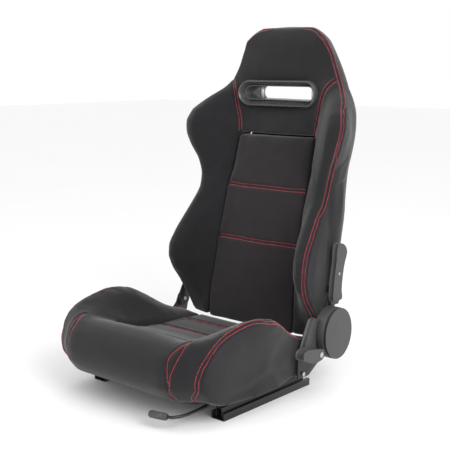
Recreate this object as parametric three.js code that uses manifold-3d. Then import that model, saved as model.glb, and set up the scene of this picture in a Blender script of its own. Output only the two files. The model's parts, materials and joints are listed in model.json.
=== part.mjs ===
// Racing seat: a reclining bucket back and a bolstered cushion on sliding floor rails.
// Millimetres, +Z up. The sitter faces -Y and +X is the sitter's left, the side of the recline lever.
// Z = 0 is the floor face of the rails.

import * as THREE from "three";
import { mergeVertices } from "three/addons/utils/BufferGeometryUtils.js";
import { ParametricGeometry } from "three/addons/geometries/ParametricGeometry.js";
import Module from "manifold-3d";

const wasm = await Module();
wasm.setup();

// ---------------------------------------------------------------- driving dimensions

const ORIGIN_SHIFT = { x: -10.8, y: -28.8 }; // centres the bounding box of the seat on the origin
const GAP = 0.4; // between pieces that lie against each other
const FAR = 600; // a length past the whole seat, for cutting tools

// Floor rails: a C section that guides a top-hat runner on two rows of rollers.
const RAIL_SPACING = 420;
const RAIL = { front: -200, back: 140, width: 40, height: 18, wall: 2, lip: 7.5 };
const RUNNER = { front: -196, back: 126, width: 19, top: 30, wall: 2, foot: 7, reach: 33 };
const ROLLER = { radius: 2.2, across: 13, length: 5, along: [-110, -70, 40, 80] };
const WINDOW = { pitch: 20, count: 11, length: 8, low: 6, high: 13 };
const FIXING_Y = [-150, 90];
const BOLT = { radius: 4, head: 6.3, headHeight: 5 };

// Cushion frame and pan.
const FRAME_TUBE = { radius: 10, wall: 2, x: 205, z: 54, front: -255, back: 135 };
const TAB = { size: 34, low: 40.4, high: 45 };
const PAN = { x: 168, front: -238, back: 118, low: 64.5, high: 66.5 };

// Recliner: pivot, lever axis and pawl axis in side view (y, z), and the layers outwards in x.
const PIVOT = { y: 170, z: 147, pin: 6 };
const LEVER_AXIS = { y: 94, z: 107, rod: 4 };
const PAWL_AXIS = { y: 118, z: 85, pin: 4 };
const ARM_LAYER = [249, 253];
const PLATE_LAYER = [254.5, 258.5];
const PLAIN_BOSS = 21; // radius of the right arm about the pivot
const TOOTH = { root: 42, tip: 46, count: 9, pitchDeg: 6, middleDeg: 208 };
const SIDE_BOLT = { y: 70, z: 54 };
const ARM_BOLT = { y: 210, z: 245 };
const DISC = { y: 168.5, z: 146.5, halfDepth: 59.5, halfHeight: 67.5, inner: 262, outer: 300, wall: 3 };

// Slide lever and its catches.
const CATCH_AXIS = { x: 180, z: 34, rod: 4 };
const LUG_Y = [-60, 46];

// Slot through the head of the backrest.
const SLOT = { z: 749, halfWidth: 135, halfHeight: 36, frame: 17, wall: 3, back: 372, bow: 20 };

// Backrest outline at each height: the stitched outer seam, the edge of the middle panel,
// the rear corner and the middle of the front face.
const BACK_HEIGHT = [112, 205, 255, 310, 375, 430, 490, 550, 610, 665, 715, 762, 805, 865, 908, 930];
const SEAM_X = [219, 231, 239, 246, 238, 228, 223, 231, 262, 279, 259, 210, 178, 155, 129, 92];
const SEAM_Y = [176, 136, 105, 94, 127, 170, 213, 218, 205, 207, 233, 292, 321, 321, 316, 328];
const EDGE_X = [150, 149, 148, 146, 144, 142, 140, 137, 135, 134, 144, 160, 172, 148, 120, 78];
const EDGE_Y = [161, 168, 179, 191, 205, 217, 233, 251, 270, 286, 284, 284, 310, 312, 309, 323];
const NOSE_IN = [14, 22, 28, 30, 32, 28, 25, 26, 36, 45, 34, 18, 3, 3, 4, 6];
const NOSE_LEAD = [0, 8, 12, 14, 16, 18, 18, 18, 18, 20, 14, 5, 3, 3, 2, 1];
const REAR_X = [205, 222, 231, 233, 232, 231, 228, 227, 234, 236, 224, 190, 160, 124, 99, 70];
const REAR_Y = [222, 250, 268, 282, 295, 308, 317, 326, 336, 342, 356, 376, 392, 396, 388, 368];
const FRONT_Y = [161, 166, 176, 187, 200, 212, 228, 247, 266, 285, 301, 303, 300, 301, 306, 322];
const PANEL_TOP = 637;
const PANEL_DEPTH = 46;
const BOARD_GAP = 16; // room behind the middle panel for the frame's straps
const BACK_FOOT = 39; // radius of the backrest's foot about the pivot

// Cushion outline: half width at each station along Y.
const SEAT_Y = [-345, -325, -268, -200, -120, -40, 40, 100, 150];
const SEAT_WIDTH = [248, 252, 257, 259, 266, 266, 249, 246, 244];
const CORNER_SWEEP = 40; // how far the front's corners are drawn back towards the sides
const SKIRT_DROP = 9; // the side skirts hang this far below the middle
const ROLL_EDGE = -196;
const ROLL_HALF = 178;
const INSERT_HALF = 150;
const SEAT_BOTTOM = 52;

const BLACK_CLOTH = { color: 0x1b1a1d, roughness: 0.92, metalness: 0 };
const PANEL_CLOTH = { color: 0x211b1d, roughness: 0.92, metalness: 0 };
const COVER_PLASTIC = { color: 0x2b2c2f, roughness: 0.5, metalness: 0 };
const GLOSS_PLASTIC = { color: 0x0d0d0f, roughness: 0.22, metalness: 0 };
const BLACK_STEEL = { color: 0x18181a, roughness: 0.45, metalness: 0.4 };
const PLATED_STEEL = { color: 0x9a9c9f, roughness: 0.35, metalness: 0.9 };
const GRIP_RUBBER = { color: 0x2a2a2b, roughness: 0.8, metalness: 0 };
const BOARD = { color: 0x1d1d1f, roughness: 0.8, metalness: 0 };

// ---------------------------------------------------------------- helpers

const SIDE_VIEW = new THREE.Matrix4().makeBasis(
  new THREE.Vector3(0, 1, 0),
  new THREE.Vector3(0, 0, 1),
  new THREE.Vector3(1, 0, 0),
);

function solid(geometry) {
  const bare = geometry.clone();
  bare.deleteAttribute("normal");
  bare.deleteAttribute("uv");
  const merged = mergeVertices(bare, 1e-3);
  const corners = [];
  for (let i = 0; i < merged.index.count; i += 3) {
    const [a, b, c] = merged.index.array.slice(i, i + 3);
    if (a !== b && b !== c && a !== c) corners.push(a, b, c);
  }
  const vertProperties = Float32Array.from(merged.attributes.position.array);
  const triVerts = Uint32Array.from(corners);
  return new wasm.Manifold(new wasm.Mesh({ numProp: 3, vertProperties, triVerts }));
}

function geometryOf(manifold) {
  const mesh = manifold.getMesh();
  const geometry = new THREE.BufferGeometry();
  geometry.setAttribute("position", new THREE.BufferAttribute(mesh.vertProperties, 3));
  geometry.setIndex(new THREE.BufferAttribute(mesh.triVerts, 1));
  return geometry;
}

function joined(...geometries) {
  return geometries.map(solid).reduce((sum, next) => sum.add(next));
}

function mirrored(geometry) {
  const flipped = geometry.clone().scale(-1, 1, 1);
  const index = flipped.index.array;
  for (let i = 0; i < index.length; i += 3) {
    [index[i], index[i + 1]] = [index[i + 1], index[i]];
  }
  return flipped;
}

function polygon(points) {
  return new THREE.Shape(points.map(([x, y]) => new THREE.Vector2(x, y)));
}

function ellipse(x, y, radiusX, radiusY = radiusX) {
  return new THREE.Shape().absellipse(x, y, radiusX, radiusY, 0, 2 * Math.PI, false, 0);
}

function smoothOutline(points, divisions) {
  const corners = points.map(([x, y]) => new THREE.Vector3(x, y, 0));
  const curve = new THREE.CatmullRomCurve3(corners, true, "centripetal");
  return polygon(curve.getPoints(divisions).slice(0, -1).map((at) => [at.x, at.y]));
}

function extruded(shape, depth, options = {}) {
  return new THREE.ExtrudeGeometry(shape, { depth, bevelEnabled: false, curveSegments: 10, ...options });
}

// A shape drawn in side view (y, z), from x0 to x1.
function sidePlate(shape, [x0, x1], options) {
  return extruded(shape, x1 - x0, options).applyMatrix4(SIDE_VIEW).translate(x0, 0, 0);
}

// A shape drawn in front view (x, z), from y0 to y1.
function frontPlate(shape, [y0, y1], options) {
  return extruded(shape, y1 - y0, options).rotateX(Math.PI / 2).translate(0, y1, 0);
}

function box([x0, y0, z0], [x1, y1, z1]) {
  const geometry = new THREE.BoxGeometry(x1 - x0, y1 - y0, z1 - z0);
  return geometry.translate((x0 + x1) / 2, (y0 + y1) / 2, (z0 + z1) / 2);
}

function rodX(radius, [x0, x1], y, z, sides = 12) {
  const geometry = new THREE.CylinderGeometry(radius, radius, x1 - x0, sides);
  return geometry.rotateZ(Math.PI / 2).translate((x0 + x1) / 2, y, z);
}

function rodY(radius, [y0, y1], x, z, sides = 12) {
  return new THREE.CylinderGeometry(radius, radius, y1 - y0, sides).translate(x, (y0 + y1) / 2, z);
}

function rodZ(radius, [z0, z1], x, y, sides = 12) {
  const geometry = new THREE.CylinderGeometry(radius, radius, z1 - z0, sides);
  return geometry.rotateX(Math.PI / 2).translate(x, y, (z0 + z1) / 2);
}

function tube(points, radius, wall, steps, sides = 8) {
  const path = new THREE.CatmullRomCurve3(points.map((at) => new THREE.Vector3(...at)));
  const section = ellipse(0, 0, radius);
  if (wall > 0) {
    const bore = radius - wall;
    section.holes.push(new THREE.Path().absellipse(0, 0, bore, bore, 0, 2 * Math.PI, true));
  }
  return new THREE.ExtrudeGeometry(section, { extrudePath: path, steps, curveSegments: sides / 2 });
}

function bothSides(points) {
  const other = points.slice(0, -1).reverse().map(([x, y, z]) => [-x, y, z]);
  return [...points, ...other];
}

// A smooth function through one value at each station.
function smoothly(stations, values) {
  const spline = new THREE.CubicInterpolant(stations, values, 1, new Float32Array(1));
  return (at) => spline.evaluate(at)[0];
}

const mix = THREE.MathUtils.lerp;

// A closed form from rings: ringAt(0..1) gives a ring's closed curve, and flat caps close both ends.
function loft(ringAt, rings, around) {
  const curves = [];
  for (let i = 0; i < rings; i += 1) curves.push(ringAt(i / (rings - 1)));
  const stacks = rings + 1;
  const point = (u, v, target) => {
    const row = Math.round(v * stacks) - 1;
    const curve = curves[THREE.MathUtils.clamp(row, 0, rings - 1)];
    if (row >= 0 && row < rings) return target.copy(curve.getPoint(u % 1));
    target.set(0, 0, 0);
    for (let i = 0; i < around; i += 1) target.add(curve.getPoint(i / around));
    return target.divideScalar(around);
  };
  return solid(new ParametricGeometry(point, around, stacks));
}

// ---------------------------------------------------------------- backrest form

const seamX = smoothly(BACK_HEIGHT, SEAM_X);
const seamY = smoothly(BACK_HEIGHT, SEAM_Y);
const edgeX = smoothly(BACK_HEIGHT, EDGE_X);
const edgeY = smoothly(BACK_HEIGHT, EDGE_Y);
const noseIn = smoothly(BACK_HEIGHT, NOSE_IN);
const noseLead = smoothly(BACK_HEIGHT, NOSE_LEAD);
const rearX = smoothly(BACK_HEIGHT, REAR_X);
const rearY = smoothly(BACK_HEIGHT, REAR_Y);
const frontY = smoothly(BACK_HEIGHT, FRONT_Y);

function backRing(t) {
  const last = BACK_HEIGHT.length - 1;
  const row = Math.min(Math.floor(t * last), last - 1);
  const z = mix(BACK_HEIGHT[row], BACK_HEIGHT[row + 1], t * last - row);
  const nose = [seamX(z) - noseIn(z), seamY(z) - noseLead(z)];
  const half = [
    [0, rearY(z) + 8],
    [rearX(z) * 0.7, rearY(z) + 5],
    [rearX(z), rearY(z) - 6],
    [mix(seamX(z), rearX(z), 0.5) + 3, mix(seamY(z), rearY(z), 0.5)],
    [seamX(z), seamY(z)],
    nose,
    [mix(edgeX(z), nose[0], 0.4), mix(edgeY(z), nose[1], 0.35)],
    [edgeX(z), edgeY(z)],
    [edgeX(z) * 0.55, mix(frontY(z), edgeY(z), 0.3)],
    [0, frontY(z)],
  ];
  const other = half.slice(1, -1).reverse().map(([x, y]) => [-x, y]);
  const points = [...half, ...other].reverse().map(([x, y]) => new THREE.Vector3(x, y, z));
  return new THREE.CatmullRomCurve3(points, true, "centripetal");
}

// The foot of the backrest is round about the pivot, so that it turns clear of the cushion.
function footTrim() {
  const front = box([-FAR, -FAR, 0], [FAR, PIVOT.y + 32, PIVOT.z - 8]);
  return solid(front).subtract(solid(rodX(BACK_FOOT, [-FAR, FAR], PIVOT.y, PIVOT.z, 32)));
}

const backForm = loft(backRing, 24, 36).subtract(footTrim());

// The middle panel and the head panel in front view, grown by `grow` on each side.
function panelOutline(grow) {
  const heights = [90, 205, 310, 430, 550, PANEL_TOP + grow];
  const right = heights.map((z) => [edgeX(z) + grow, z]);
  return polygon([...right, ...right.slice().reverse().map(([x, z]) => [-x, z])]);
}

function headOutline(grow) {
  const heights = [PANEL_TOP + GAP - grow, 690, 735, 765, 790];
  const right = heights.map((z) => [edgeX(z) + grow, z]);
  right.push([290, 800 - grow], [290, 1000]);
  return polygon([...right, ...right.slice().reverse().map(([x, z]) => [-x, z])]);
}

// A slab that follows the lean of the middle panel, `depth` behind its face.
function behindPanel(depth) {
  const heights = [100, 205, 310, 430, 550, 700];
  const face = heights.map((z) => [edgeY(z) + depth, z]);
  return solid(sidePlate(polygon([...face, [FAR, 700], [FAR, 100]]), [-FAR, FAR]));
}

const HOOP = bothSides([
  [200, 184, 150], [199, 212, 240], [195, 263, 370], [188, 292, 490], [189, 311, 600],
  [183, 328, 695], [158, 344, 770], [126, 352, 825], [84, 355, 868], [40, 356, 884], [0, 356, 886],
]);
const HOOP_TUBE = { radius: 10, wall: 1.8, steps: 30 };
const STRAP = { heights: [335, 450, 570], half: 11, reach: 192, thickness: 3 };

// A cross strap at height z, grown by `room` on every side.
function strap(z, room) {
  const y = edgeY(z) + PANEL_DEPTH + BOARD_GAP / 2;
  const reach = STRAP.reach + 4 * room;
  const half = STRAP.half + room;
  const depth = STRAP.thickness / 2 + room;
  return box([-reach, y - depth, z - half], [reach, y + depth, z + half]);
}

function armPeg(grow) {
  return rodX(9 + grow, [207, ARM_LAYER[0] - GAP + (grow ? FAR : 0)], ARM_BOLT.y, ARM_BOLT.z);
}

function backFrame() {
  let frame = solid(tube(HOOP, HOOP_TUBE.radius, HOOP_TUBE.wall, HOOP_TUBE.steps));
  for (const z of STRAP.heights) {
    frame = frame.add(solid(strap(z, 0)));
  }
  const peg = solid(armPeg(0)).subtract(solid(rodX(BOLT.radius + GAP, [230, FAR], ARM_BOLT.y, ARM_BOLT.z)));
  return frame.add(peg).add(solid(mirrored(geometryOf(peg))));
}

// Room for the frame in the pads around it.
function frameRoom() {
  let room = solid(tube(HOOP, HOOP_TUBE.radius + 1, 0, HOOP_TUBE.steps));
  for (const z of STRAP.heights) room = room.add(solid(strap(z, 1.3)));
  const peg = geometryOf(solid(armPeg(1)));
  return room.add(solid(peg)).add(solid(mirrored(peg)));
}

function slotOval(halfWidth, halfHeight, span) {
  const straight = halfWidth - halfHeight;
  const shape = new THREE.Shape();
  shape.absarc(straight, SLOT.z, halfHeight, -Math.PI / 2, Math.PI / 2, false);
  shape.absarc(-straight, SLOT.z, halfHeight, Math.PI / 2, 1.5 * Math.PI, false);
  const outline = shape.getSpacedPoints(32).slice(0, -1).map((at) => [at.x, at.y]);
  return frontPlate(polygon(outline), span);
}

// A slab that follows the hollow of the head panel from side to side, from y0 to y1 at the middle.
function bowedSlab(y0, y1) {
  const across = [...Array(15).keys()].map((i) => (i / 7 - 1) * (SLOT.halfWidth + 8));
  const hollow = (x) => -SLOT.bow * (x / SLOT.halfWidth) ** 2;
  const near = across.map((x) => [x, y0 + hollow(x)]);
  const far = across.map((x) => [x, y1 + hollow(x)]).reverse();
  return solid(extruded(polygon([...near, ...far]), 140).translate(0, 0, SLOT.z - 70));
}

const BEZEL = { front: 297, back: 306, slack: 1.2 };
const openingHalfWidth = SLOT.halfWidth - SLOT.frame;
const openingHalfHeight = SLOT.halfHeight - SLOT.frame;

function slotRoom() {
  const tunnel = slotOval(openingHalfWidth + SLOT.wall, openingHalfHeight + SLOT.wall, [100, FAR]);
  const rim = solid(slotOval(SLOT.halfWidth + BEZEL.slack, SLOT.halfHeight + BEZEL.slack, [100, FAR]));
  const rear = slotOval(SLOT.halfWidth + BEZEL.slack, SLOT.halfHeight + BEZEL.slack, [SLOT.back - 4, FAR]);
  return solid(tunnel).add(rim.intersect(bowedSlab(100, BEZEL.back + GAP))).add(solid(rear));
}

function headPad() {
  const head = backForm.intersect(solid(frontPlate(headOutline(0), [0, FAR])));
  return head.subtract(slotRoom()).subtract(frameRoom());
}

function backInsert() {
  const middle = backForm.intersect(solid(frontPlate(panelOutline(0), [0, FAR])));
  return middle.subtract(behindPanel(PANEL_DEPTH));
}

function backBoard() {
  const middle = backForm.intersect(solid(frontPlate(panelOutline(0), [0, FAR])));
  return middle.intersect(behindPanel(PANEL_DEPTH + BOARD_GAP));
}

function wing() {
  const half = solid(box([0, 0, 0], [FAR, FAR, 2 * FAR]));
  const outside = backForm.intersect(half);
  const trimmed = outside
    .subtract(solid(frontPlate(panelOutline(GAP), [-FAR, FAR])))
    .subtract(solid(frontPlate(headOutline(GAP), [-FAR, FAR])));
  return largest(trimmed.subtract(frameRoom()));
}

function largest(manifold) {
  const bodies = manifold.decompose();
  return bodies.reduce((best, next) => (next.volume() > best.volume() ? next : best));
}

// ---------------------------------------------------------------- cushion form

const seatWidth = smoothly(SEAT_Y, SEAT_WIDTH);
const MIDDLE_Y = [-345, -268, -196, -120, -40, 40, 100, 150];
const MIDDLE_HEIGHT = [120, 200, 174, 144, 133, 130, 128, 126];
const CREST_Y = [-345, -288, -240, -180, -114, -67, -20, 30, 86, 150];
const CREST_HEIGHT = [120, 206, 222, 234, 239, 232, 213, 178, 145, 132];
const middleHeight = smoothly(MIDDLE_Y, MIDDLE_HEIGHT);
const crestHeight = smoothly(CREST_Y, CREST_HEIGHT);
const CROSS = [0, 0.25, 0.42, 0.54, 0.62, 0.7, 0.78, 0.86, 0.92];
const EDGE_ROUND = 20;
const SEAT_MAX = 268;

function bolsterRise(fraction) {
  return THREE.MathUtils.smoothstep(fraction, 0.53, 0.93);
}

function cushionRing(fraction, inset) {
  const rise = bolsterRise(fraction);
  const top = (y) => mix(middleHeight(y), crestHeight(y), rise) - inset;
  const sweep = CORNER_SWEEP * THREE.MathUtils.smoothstep(fraction, 0.62, 0.95) + inset;
  const bottom = SEAT_BOTTOM - SKIRT_DROP * THREE.MathUtils.smoothstep(fraction, 0.8, 0.9);
  const profile = [
    [-302 + sweep, SEAT_BOTTOM + 6],
    [-345 + sweep, 115],
    [-326 + sweep, 178 + 6 * rise],
    [-268 + sweep / 2, top(-268)],
    ...[-196, -120, -40, 40, 100].map((y) => [y, top(y)]),
    [148 - inset / 2, top(148) - 4],
    [156 - inset / 2, bottom + 12],
    [130, bottom],
    [45, bottom],
    [-40, bottom],
    [-200, bottom + 2],
  ];
  return profile.reverse();
}

function cushionForm() {
  const edge = [30, 60, 90].map((degrees) => {
    const angle = THREE.MathUtils.degToRad(degrees);
    const x = SEAT_MAX - EDGE_ROUND + EDGE_ROUND * Math.sin(angle);
    return [x / SEAT_MAX, EDGE_ROUND * (1 - Math.cos(angle))];
  });
  const right = [...CROSS.map((fraction) => [fraction, 0]), ...edge];
  const stations = [...right.slice(1).reverse().map(([at, inset]) => [-at, inset]), ...right];
  const ringAt = (t) => {
    const [at, inset] = stations[Math.round(t * (stations.length - 1))];
    const profile = cushionRing(Math.abs(at), inset);
    const points = profile.map(([y, z]) => new THREE.Vector3(at * seatWidth(y), y, z));
    return new THREE.CatmullRomCurve3(points, true, "centripetal");
  };
  return loft(ringAt, stations.length, 26);
}

// The rear of the cushion is hollowed around the pivot, clear of the foot of the backrest.
const footRoom = solid(rodX(BACK_FOOT + 2, [-FAR, FAR], PIVOT.y, PIVOT.z, 32));
const seatForm = cushionForm().subtract(footRoom);
const FRAME_ROOM = { x: 228.5, front: -272, back: 170, top: 67.4 };

function seatRoom() {
  const under = box([-FRAME_ROOM.x, FRAME_ROOM.front, 0], [FRAME_ROOM.x, FRAME_ROOM.back, FRAME_ROOM.top]);
  const rod = rodX(LEVER_AXIS.rod + 3, [ARM_LAYER[0] - 6, FAR], LEVER_AXIS.y, LEVER_AXIS.z);
  const boss = rodX(11, [-FAR, FAR], SIDE_BOLT.y, SIDE_BOLT.z);
  return joined(under, rod, boss);
}

function seatPart(inside) {
  return seatForm.intersect(solid(inside)).subtract(seatRoom());
}

function frontRoll() {
  return seatPart(box([-ROLL_HALF, -FAR, 0], [ROLL_HALF, ROLL_EDGE - GAP, FAR]));
}

function cushionInsert() {
  return seatPart(box([-INSERT_HALF, ROLL_EDGE, 0], [INSERT_HALF, FAR, FAR]));
}

function bolster() {
  const plan = polygon([
    [ROLL_HALF + GAP, -FAR], [FAR, -FAR], [FAR, FAR], [INSERT_HALF + GAP, FAR],
    [INSERT_HALF + GAP, ROLL_EDGE], [ROLL_HALF + GAP, ROLL_EDGE],
  ]);
  return largest(seatPart(extruded(plan, FAR)));
}

// ---------------------------------------------------------------- rails and slide

function lowerRail() {
  const { width, height, wall, lip, front, back } = RAIL;
  const half = width / 2;
  const inner = half - wall;
  const section = polygon([
    [-half, 0], [half, 0], [half, height], [inner - lip, height], [inner - lip, height - wall],
    [inner, height - wall], [inner, wall], [-inner, wall], [-inner, height - wall],
    [lip - inner, height - wall], [lip - inner, height], [-half, height],
  ]);
  let rail = solid(frontPlate(section, [front, back]));
  for (let i = 0; i < WINDOW.count; i += 1) {
    const y = (i - (WINDOW.count - 1) / 2) * WINDOW.pitch;
    const reach = WINDOW.length / 2;
    const window = box([-half - 1, y - reach, WINDOW.low], [-inner + 1, y + reach, WINDOW.high]);
    rail = rail.subtract(solid(window));
  }
  for (const y of FIXING_Y) {
    rail = rail.subtract(solid(rodZ(BOLT.radius + 0.5, [-1, wall + 1], 0, y)));
  }
  return geometryOf(rail).translate(RAIL_SPACING / 2, 0, 0);
}

function runner() {
  const { width, wall, top, foot, reach, front, back } = RUNNER;
  const half = width / 2;
  const inner = half - wall;
  const section = polygon([
    [-reach / 2, foot], [-inner, foot], [-inner, top - wall], [inner, top - wall], [inner, foot],
    [reach / 2, foot], [reach / 2, foot + wall], [half, foot + wall], [half, top], [-half, top],
    [-half, foot + wall], [-reach / 2, foot + wall],
  ]);
  let body = solid(frontPlate(section, [front, back]));
  for (const y of FIXING_Y) {
    body = body.subtract(solid(rodZ(BOLT.radius + 0.5, [top - wall - 1, top + 1], 0, y)));
  }
  const axisX = CATCH_AXIS.x - RAIL_SPACING / 2;
  for (const y of LUG_Y) {
    const lug = solid(box([axisX - 9, y - 3, 24], [-inner, y + 3, 43]));
    body = body.add(lug.subtract(solid(rodY(CATCH_AXIS.rod + GAP, [y - 9, y + 9], axisX, CATCH_AXIS.z))));
  }
  return geometryOf(body).translate(RAIL_SPACING / 2, 0, 0);
}

function rollerCage() {
  const { radius, across, length, along } = ROLLER;
  const plate = box([-15, along[0] - 12, 4], [15, along.at(-1) + 12, 5]);
  const rollers = along.flatMap((y) => [-across, across].map((x) => {
    return rodX(radius, [x - length / 2, x + length / 2], y, 4.5, 8);
  }));
  return geometryOf(joined(plate, ...rollers)).translate(RAIL_SPACING / 2, 0, 0);
}

function railBolt(y) {
  const under = RUNNER.top - RUNNER.wall - GAP;
  const head = rodZ(BOLT.head, [under - BOLT.headHeight, under], RAIL_SPACING / 2, y, 6);
  const shank = rodZ(BOLT.radius, [under - 1, TAB.high + 6], RAIL_SPACING / 2, y, 12);
  return geometryOf(joined(head, shank));
}

function catchComb(armHigh) {
  const { x, z, rod } = CATCH_AXIS;
  const hub = rodY(rod + 3, [-26, 26], x, z, 12);
  const arm = box([x - 1.5, -24, 8], [x + 1.5, 24, z]);
  const teeth = [-20, 0, 20].map((y) => box([x, y - 3, 7.5], [189.6, y + 3, 11.5]));
  const horn = armHigh ? box([x - 1.5, 8, z], [x + 1.5, 14, 54]) : box([x - 1.5, 8, 9], [x + 1.5, 14, z]);
  return joined(hub, arm, ...teeth, horn);
}

function leftCatch() {
  const bore = rodY(CATCH_AXIS.rod + 0.3, [-FAR, FAR], CATCH_AXIS.x, CATCH_AXIS.z);
  return geometryOf(catchComb(true).subtract(solid(bore)));
}

const LEVER_ROUTE = [
  [180, 52, 34], [180, -60, 34], [180, -190, 34], [190, -228, 34], [191, -300, 34], [180, -322, 34],
  [164, -329, 34], [128, -337, 34],
];

function leverTube(radius) {
  return solid(tube(LEVER_ROUTE, radius, 0, 24));
}

function slideLever() {
  return geometryOf(leverTube(CATCH_AXIS.rod));
}

function slideGrip() {
  const start = new THREE.Vector3(170, -327.5, CATCH_AXIS.z);
  const end = new THREE.Vector3(122, -338.5, CATCH_AXIS.z);
  const along = end.clone().sub(start);
  const length = along.length();
  const outline = [[0, 0], [6, 0], [8.5, 3], [9, 10], [9, length - 4], [6, length], [0, length]];
  const sleeve = new THREE.LatheGeometry(outline.map(([r, s]) => new THREE.Vector2(r, s)), 12);
  const turn = new THREE.Quaternion().setFromUnitVectors(new THREE.Vector3(0, 1, 0), along.normalize());
  sleeve.applyQuaternion(turn).translate(start.x, start.y, start.z);
  return geometryOf(solid(sleeve).subtract(leverTube(CATCH_AXIS.rod + GAP)));
}

function rightCatch() {
  const pin = rodY(CATCH_AXIS.rod, [-66, 52], CATCH_AXIS.x, CATCH_AXIS.z);
  return mirrored(geometryOf(catchComb(false).add(solid(pin))));
}

function catchLink() {
  const throwArm = 15; // above the left axis and below the right one, so that both catches turn outwards
  const reach = CATCH_AXIS.x - 1.5 - 2 * GAP;
  const low = [-reach, 11, CATCH_AXIS.z - throwArm];
  const high = [reach, 11, CATCH_AXIS.z + throwArm];
  return geometryOf(solid(tube([low, [0, 11, CATCH_AXIS.z], high], 1.5, 0, 2, 6)));
}

// ---------------------------------------------------------------- cushion frame

function cushionFrame() {
  const { radius, wall, x, z, front, back } = FRAME_TUBE;
  const hoop = bothSides([
    [x, back, z], [x, 0, z], [x, front + 70, z], [x - 6, front + 25, z], [x - 30, front + 3, z],
    [x - 70, front, z], [0, front, z],
  ]);
  let frame = solid(tube(hoop, radius, wall, 26));
  for (const y of [...FIXING_Y, -20]) {
    frame = frame.add(solid(box([-x, y - 14, TAB.low + 1.6], [x, y + 14, TAB.high])));
  }
  const boss = rodX(8, [x + radius - 1, PLATE_LAYER[0] - GAP], SIDE_BOLT.y, SIDE_BOLT.z);
  for (const geometry of [boss, mirrored(boss)]) frame = frame.add(solid(geometry));
  for (const side of [-1, 1]) {
    const centre = (side * RAIL_SPACING) / 2;
    for (const y of FIXING_Y) {
      const half = TAB.size / 2;
      const spacer = rodZ(9, [RUNNER.top + GAP, TAB.high], centre, y);
      const tab = box([centre - half, y - half, TAB.low], [centre + half, y + half, TAB.high]);
      frame = frame.add(joined(spacer, tab));
      frame = frame.subtract(solid(rodZ(BOLT.radius + GAP, [0, TAB.high + 7], centre, y)));
    }
  }
  const thread = rodX(BOLT.radius + GAP, [PLATE_LAYER[0] - 20, FAR], SIDE_BOLT.y, SIDE_BOLT.z);
  for (const geometry of [thread, mirrored(thread)]) frame = frame.subtract(solid(geometry));
  return geometryOf(frame);
}

function seatPan() {
  const { x, front, back, low, high } = PAN;
  const pan = solid(box([-x, front, low], [x, back, high]));
  const reliefs = [-80, 80].map((at) => {
    const slot = new THREE.Shape();
    slot.absarc(at, -130, 28, Math.PI, 2 * Math.PI, false);
    slot.absarc(at, 20, 28, 0, Math.PI, false);
    return extruded(slot, 2 * (high - low)).translate(0, 0, low - 1);
  });
  return geometryOf(reliefs.reduce((rest, relief) => rest.subtract(solid(relief)), pan));
}

// ---------------------------------------------------------------- recliner

function holeX(radius, y, z) {
  return solid(rodX(radius, [0, FAR], y, z));
}

// The left arm has the teeth that the pawl locks; the right one only turns.
function reclinerArm(toothed) {
  const blade = polygon([
    [150, 165], [196, 250], [206, 352], [216, 362], [232, 358], [238, 340], [226, 250], [208, 165],
  ]);
  const root = rodX(toothed ? TOOTH.root : PLAIN_BOSS, ARM_LAYER, PIVOT.y, PIVOT.z, 36);
  let arm = solid(sidePlate(blade, ARM_LAYER)).add(solid(root));
  for (let i = 0; toothed && i < TOOTH.count; i += 1) {
    const degrees = TOOTH.middleDeg + (i - (TOOTH.count - 1) / 2) * TOOTH.pitchDeg;
    const base = TOOTH.root - 1;
    const tooth = polygon([[base, -1.7], [TOOTH.tip, -0.8], [TOOTH.tip, 0.8], [base, 1.7]]);
    const bar = extruded(tooth, ARM_LAYER[1] - ARM_LAYER[0]);
    bar.rotateZ(THREE.MathUtils.degToRad(degrees)).applyMatrix4(SIDE_VIEW);
    arm = arm.add(solid(bar.translate(ARM_LAYER[0], PIVOT.y, PIVOT.z)));
  }
  const pinHole = holeX(PIVOT.pin + 0.3, PIVOT.y, PIVOT.z);
  const boltHole = holeX(BOLT.radius + GAP, ARM_BOLT.y, ARM_BOLT.z);
  return geometryOf(arm.subtract(pinHole).subtract(boltHole));
}

function armBolt() {
  const head = rodX(BOLT.head, [ARM_LAYER[1] + GAP, ARM_LAYER[1] + GAP + 4], ARM_BOLT.y, ARM_BOLT.z, 6);
  const shank = rodX(BOLT.radius, [234, ARM_LAYER[1] + 2], ARM_BOLT.y, ARM_BOLT.z, 12);
  return geometryOf(joined(head, shank));
}

function basePlate() {
  const outline = polygon([
    [50, 44], [50, 112], [92, 190], [132, 184], [128, 168], [150, 196], [190, 196], [218, 165], [218, 128],
    [196, 100], [160, 88], [140, 70], [96, 44],
  ]);
  let plate = solid(sidePlate(outline, PLATE_LAYER));
  plate = plate.subtract(holeX(PIVOT.pin + 0.3, PIVOT.y, PIVOT.z));
  plate = plate.subtract(holeX(LEVER_AXIS.rod + 0.6, LEVER_AXIS.y, LEVER_AXIS.z));
  plate = plate.subtract(holeX(BOLT.radius + GAP, SIDE_BOLT.y, SIDE_BOLT.z));
  const rivet = rodX(PAWL_AXIS.pin, [ARM_LAYER[0], PLATE_LAYER[1]], PAWL_AXIS.y, PAWL_AXIS.z);
  return geometryOf(plate.add(solid(rivet)));
}

function plainPlate() {
  const outline = polygon([
    [50, 44], [50, 92], [110, 108], [142, 140], [152, 162], [164, 169], [178, 168], [189, 158], [193, 142],
    [186, 112], [160, 88], [140, 70], [96, 44],
  ]);
  const plate = solid(sidePlate(outline, PLATE_LAYER));
  const pinHole = holeX(PIVOT.pin + 0.3, PIVOT.y, PIVOT.z);
  return geometryOf(plate.subtract(pinHole).subtract(holeX(BOLT.radius + GAP, SIDE_BOLT.y, SIDE_BOLT.z)));
}

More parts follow.
